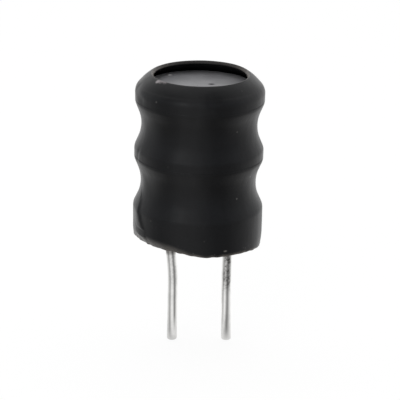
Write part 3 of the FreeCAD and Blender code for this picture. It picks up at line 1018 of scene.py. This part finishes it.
def tent_grey(tree, place, inner, outer, middle):
    """The light tent's grey by compass bearing, with plain white for camera rays.

    The bearing is the arctangent of x over -y. Between the outer and the inner distance from
    the upright axis, the grey turns to the middle's.
    """
    split = add_node(tree, "SeparateXYZ", {0: place})
    links = {0: split.outputs["Y"], 1: -1.0}
    ahead = add_node(tree, "Math", links, operation="MULTIPLY")
    links = {0: split.outputs["X"], 1: ahead.outputs[0]}
    bearing = add_node(tree, "Math", links, operation="ARCTAN2")
    links = {"Value": bearing.outputs[0], "From Min": -math.pi, "From Max": math.pi}
    turn = add_node(tree, "MapRange", links)
    ramp = add_node(tree, "ValToRGB", {"Fac": turn.outputs["Result"]})
    elements = ramp.color_ramp.elements
    elements[0].color = elements[1].color = (TENT[0][1],) * 3 + (1.0,)
    for at, grey in TENT[1:-1]:
        elements.new(at / 360.0 + 0.5).color = (grey, grey, grey, 1.0)
    links = {0: place, 1: (1.0, 1.0, 0.0)}
    flat = add_node(tree, "VectorMath", links, operation="MULTIPLY")
    reach = add_node(tree, "VectorMath", {0: flat.outputs[0]}, operation="LENGTH")
    links = {"Value": reach.outputs["Value"], "From Min": inner, "From Max": outer}
    near = add_node(tree, "MapRange", links)
    grey = add_mix(tree, near.outputs["Result"], (middle,) * 3, ramp.outputs["Color"])
    path = add_node(tree, "LightPath")
    return add_mix(tree, path.outputs["Is Camera Ray"], grey, WHITE)


def white_surroundings():
    """A world like a light tent, white to the camera."""
    world = bpy.data.worlds.new("surroundings")
    bpy.context.scene.world = world
    world.use_nodes = True
    tree = world.node_tree
    tree.nodes.clear()
    place = add_node(tree, "TexCoord").outputs["Generated"]
    grey = tent_grey(tree, place, inner=0.15, outer=0.5, middle=0.45)
    back = add_node(tree, "Background", {"Color": grey})
    add_node(tree, "OutputWorld", {"Surface": back.outputs[0]})


def pale_floor(stage):
    """A white floor: to the eye mostly a white glow, and in reflections the tent's greys."""
    material = bpy.data.materials.new("floor")
    material.use_nodes = True
    tree = material.node_tree
    tree.nodes.clear()
    place = add_node(tree, "TexCoord").outputs["Object"]
    paint = add_node(tree, "BsdfDiffuse", {"Color": (0.9, 0.9, 0.9)})
    grey = tent_grey(tree, place, inner=1.0 * MM, outer=5.0 * MM, middle=0.72)
    glow = add_node(tree, "Emission", {"Color": grey, "Strength": 1.06})
    links = {0: seen_ray(tree), 1: 1.0 - stage.shadow}
    amount = add_node(tree, "Math", links, operation="MULTIPLY")
    links = {0: amount.outputs[0], 1: paint.outputs[0], 2: glow.outputs[0]}
    mix = add_node(tree, "MixShader", links)
    add_node(tree, "OutputMaterial", {"Surface": mix.outputs[0]})
    half = stage.floor_size / 2
    mesh = bpy.data.meshes.new("floor")
    level = LEAD_TIP - 0.02 * MM
    corners = [(x * half, y * half, level) for x, y in ((-1, -1), (1, -1), (1, 1), (-1, 1))]
    mesh.from_pydata(corners, [], [(0, 1, 2, 3)])
    mesh.materials.append(material)
    floor = bpy.data.objects.new("floor", mesh)
    bpy.context.scene.collection.objects.link(floor)


def aim_camera(stage):
    """The photograph's view: from in front, a little above, and rolled by about a degree."""
    tilt = stage.elevation
    forward = Vector((0.0, math.cos(tilt), -math.sin(tilt)))
    target = Vector((stage.target_side, 0.0, stage.target_height))
    camera_data = bpy.data.cameras.new("camera")
    camera_data.lens = stage.lens
    camera_data.sensor_width = 36.0
    camera_data.clip_start = 0.001
    camera = bpy.data.objects.new("camera", camera_data)
    upright = forward.to_track_quat("-Z", "Y").to_matrix()
    turn = Matrix.Rotation(stage.roll, 3, "Z")
    camera.matrix_world = (upright @ turn).to_4x4()
    camera.location = target - stage.distance * forward
    bpy.context.scene.collection.objects.link(camera)
    bpy.context.scene.camera = camera


class InductorStage(bpy.types.Operator):
    """Sets up the camera, the pale floor, the white background and the soft lamps"""

    bl_idname = "inductor.stage"
    bl_label = "Stage"

    def execute(self, context):
        stage = context.scene.inductor_stage
        context.scene.view_settings.view_transform = "Standard"
        aim_camera(stage)
        pale_floor(stage)
        white_surroundings()
        for name, values in LAMPS.items():
            lamp(name, *values)
        return {"FINISHED"}


class InductorPanel(bpy.types.Panel):
    """The inductor's steps, sizes and colours"""

    bl_idname = "VIEW3D_PT_inductor"
    bl_label = "Inductor"
    bl_space_type = "VIEW_3D"
    bl_region_type = "UI"
    bl_category = "Inductor"

    def draw(self, context):
        for step in STEPS:
            self.layout.operator(step.bl_idname)
        for group, name in GROUPS:
            box = self.layout.box()
            box.label(text=group.__doc__)
            for key in group.__annotations__:
                box.prop(getattr(context.scene, name), key)


GROUPS = (
    (SleeveSizes, "inductor_sleeve"),
    (WireSizes, "inductor_wire"),
    (StageSettings, "inductor_stage"),
)
STEPS = (
    InductorCore, InductorWinding, InductorLeads, InductorJoints, InductorSleeve, InductorStage
)


def register():
    for group, name in GROUPS:
        bpy.utils.register_class(group)
        setattr(bpy.types.Scene, name, bpy.props.PointerProperty(type=group))
    for cls in (*STEPS, InductorPanel):
        bpy.utils.register_class(cls)


def unregister():
    for cls in (InductorPanel, *reversed(STEPS)):
        bpy.utils.unregister_class(cls)
    for group, name in reversed(GROUPS):
        delattr(bpy.types.Scene, name)
        bpy.utils.unregister_class(group)


def main():
    """Registers the add-on and builds everything in order."""
    register()
    bpy.ops.inductor.core()
    bpy.ops.inductor.winding()
    bpy.ops.inductor.leads()
    bpy.ops.inductor.joints()
    bpy.ops.inductor.sleeve()
    bpy.ops.inductor.stage()


if __name__ == "__main__":
    main()
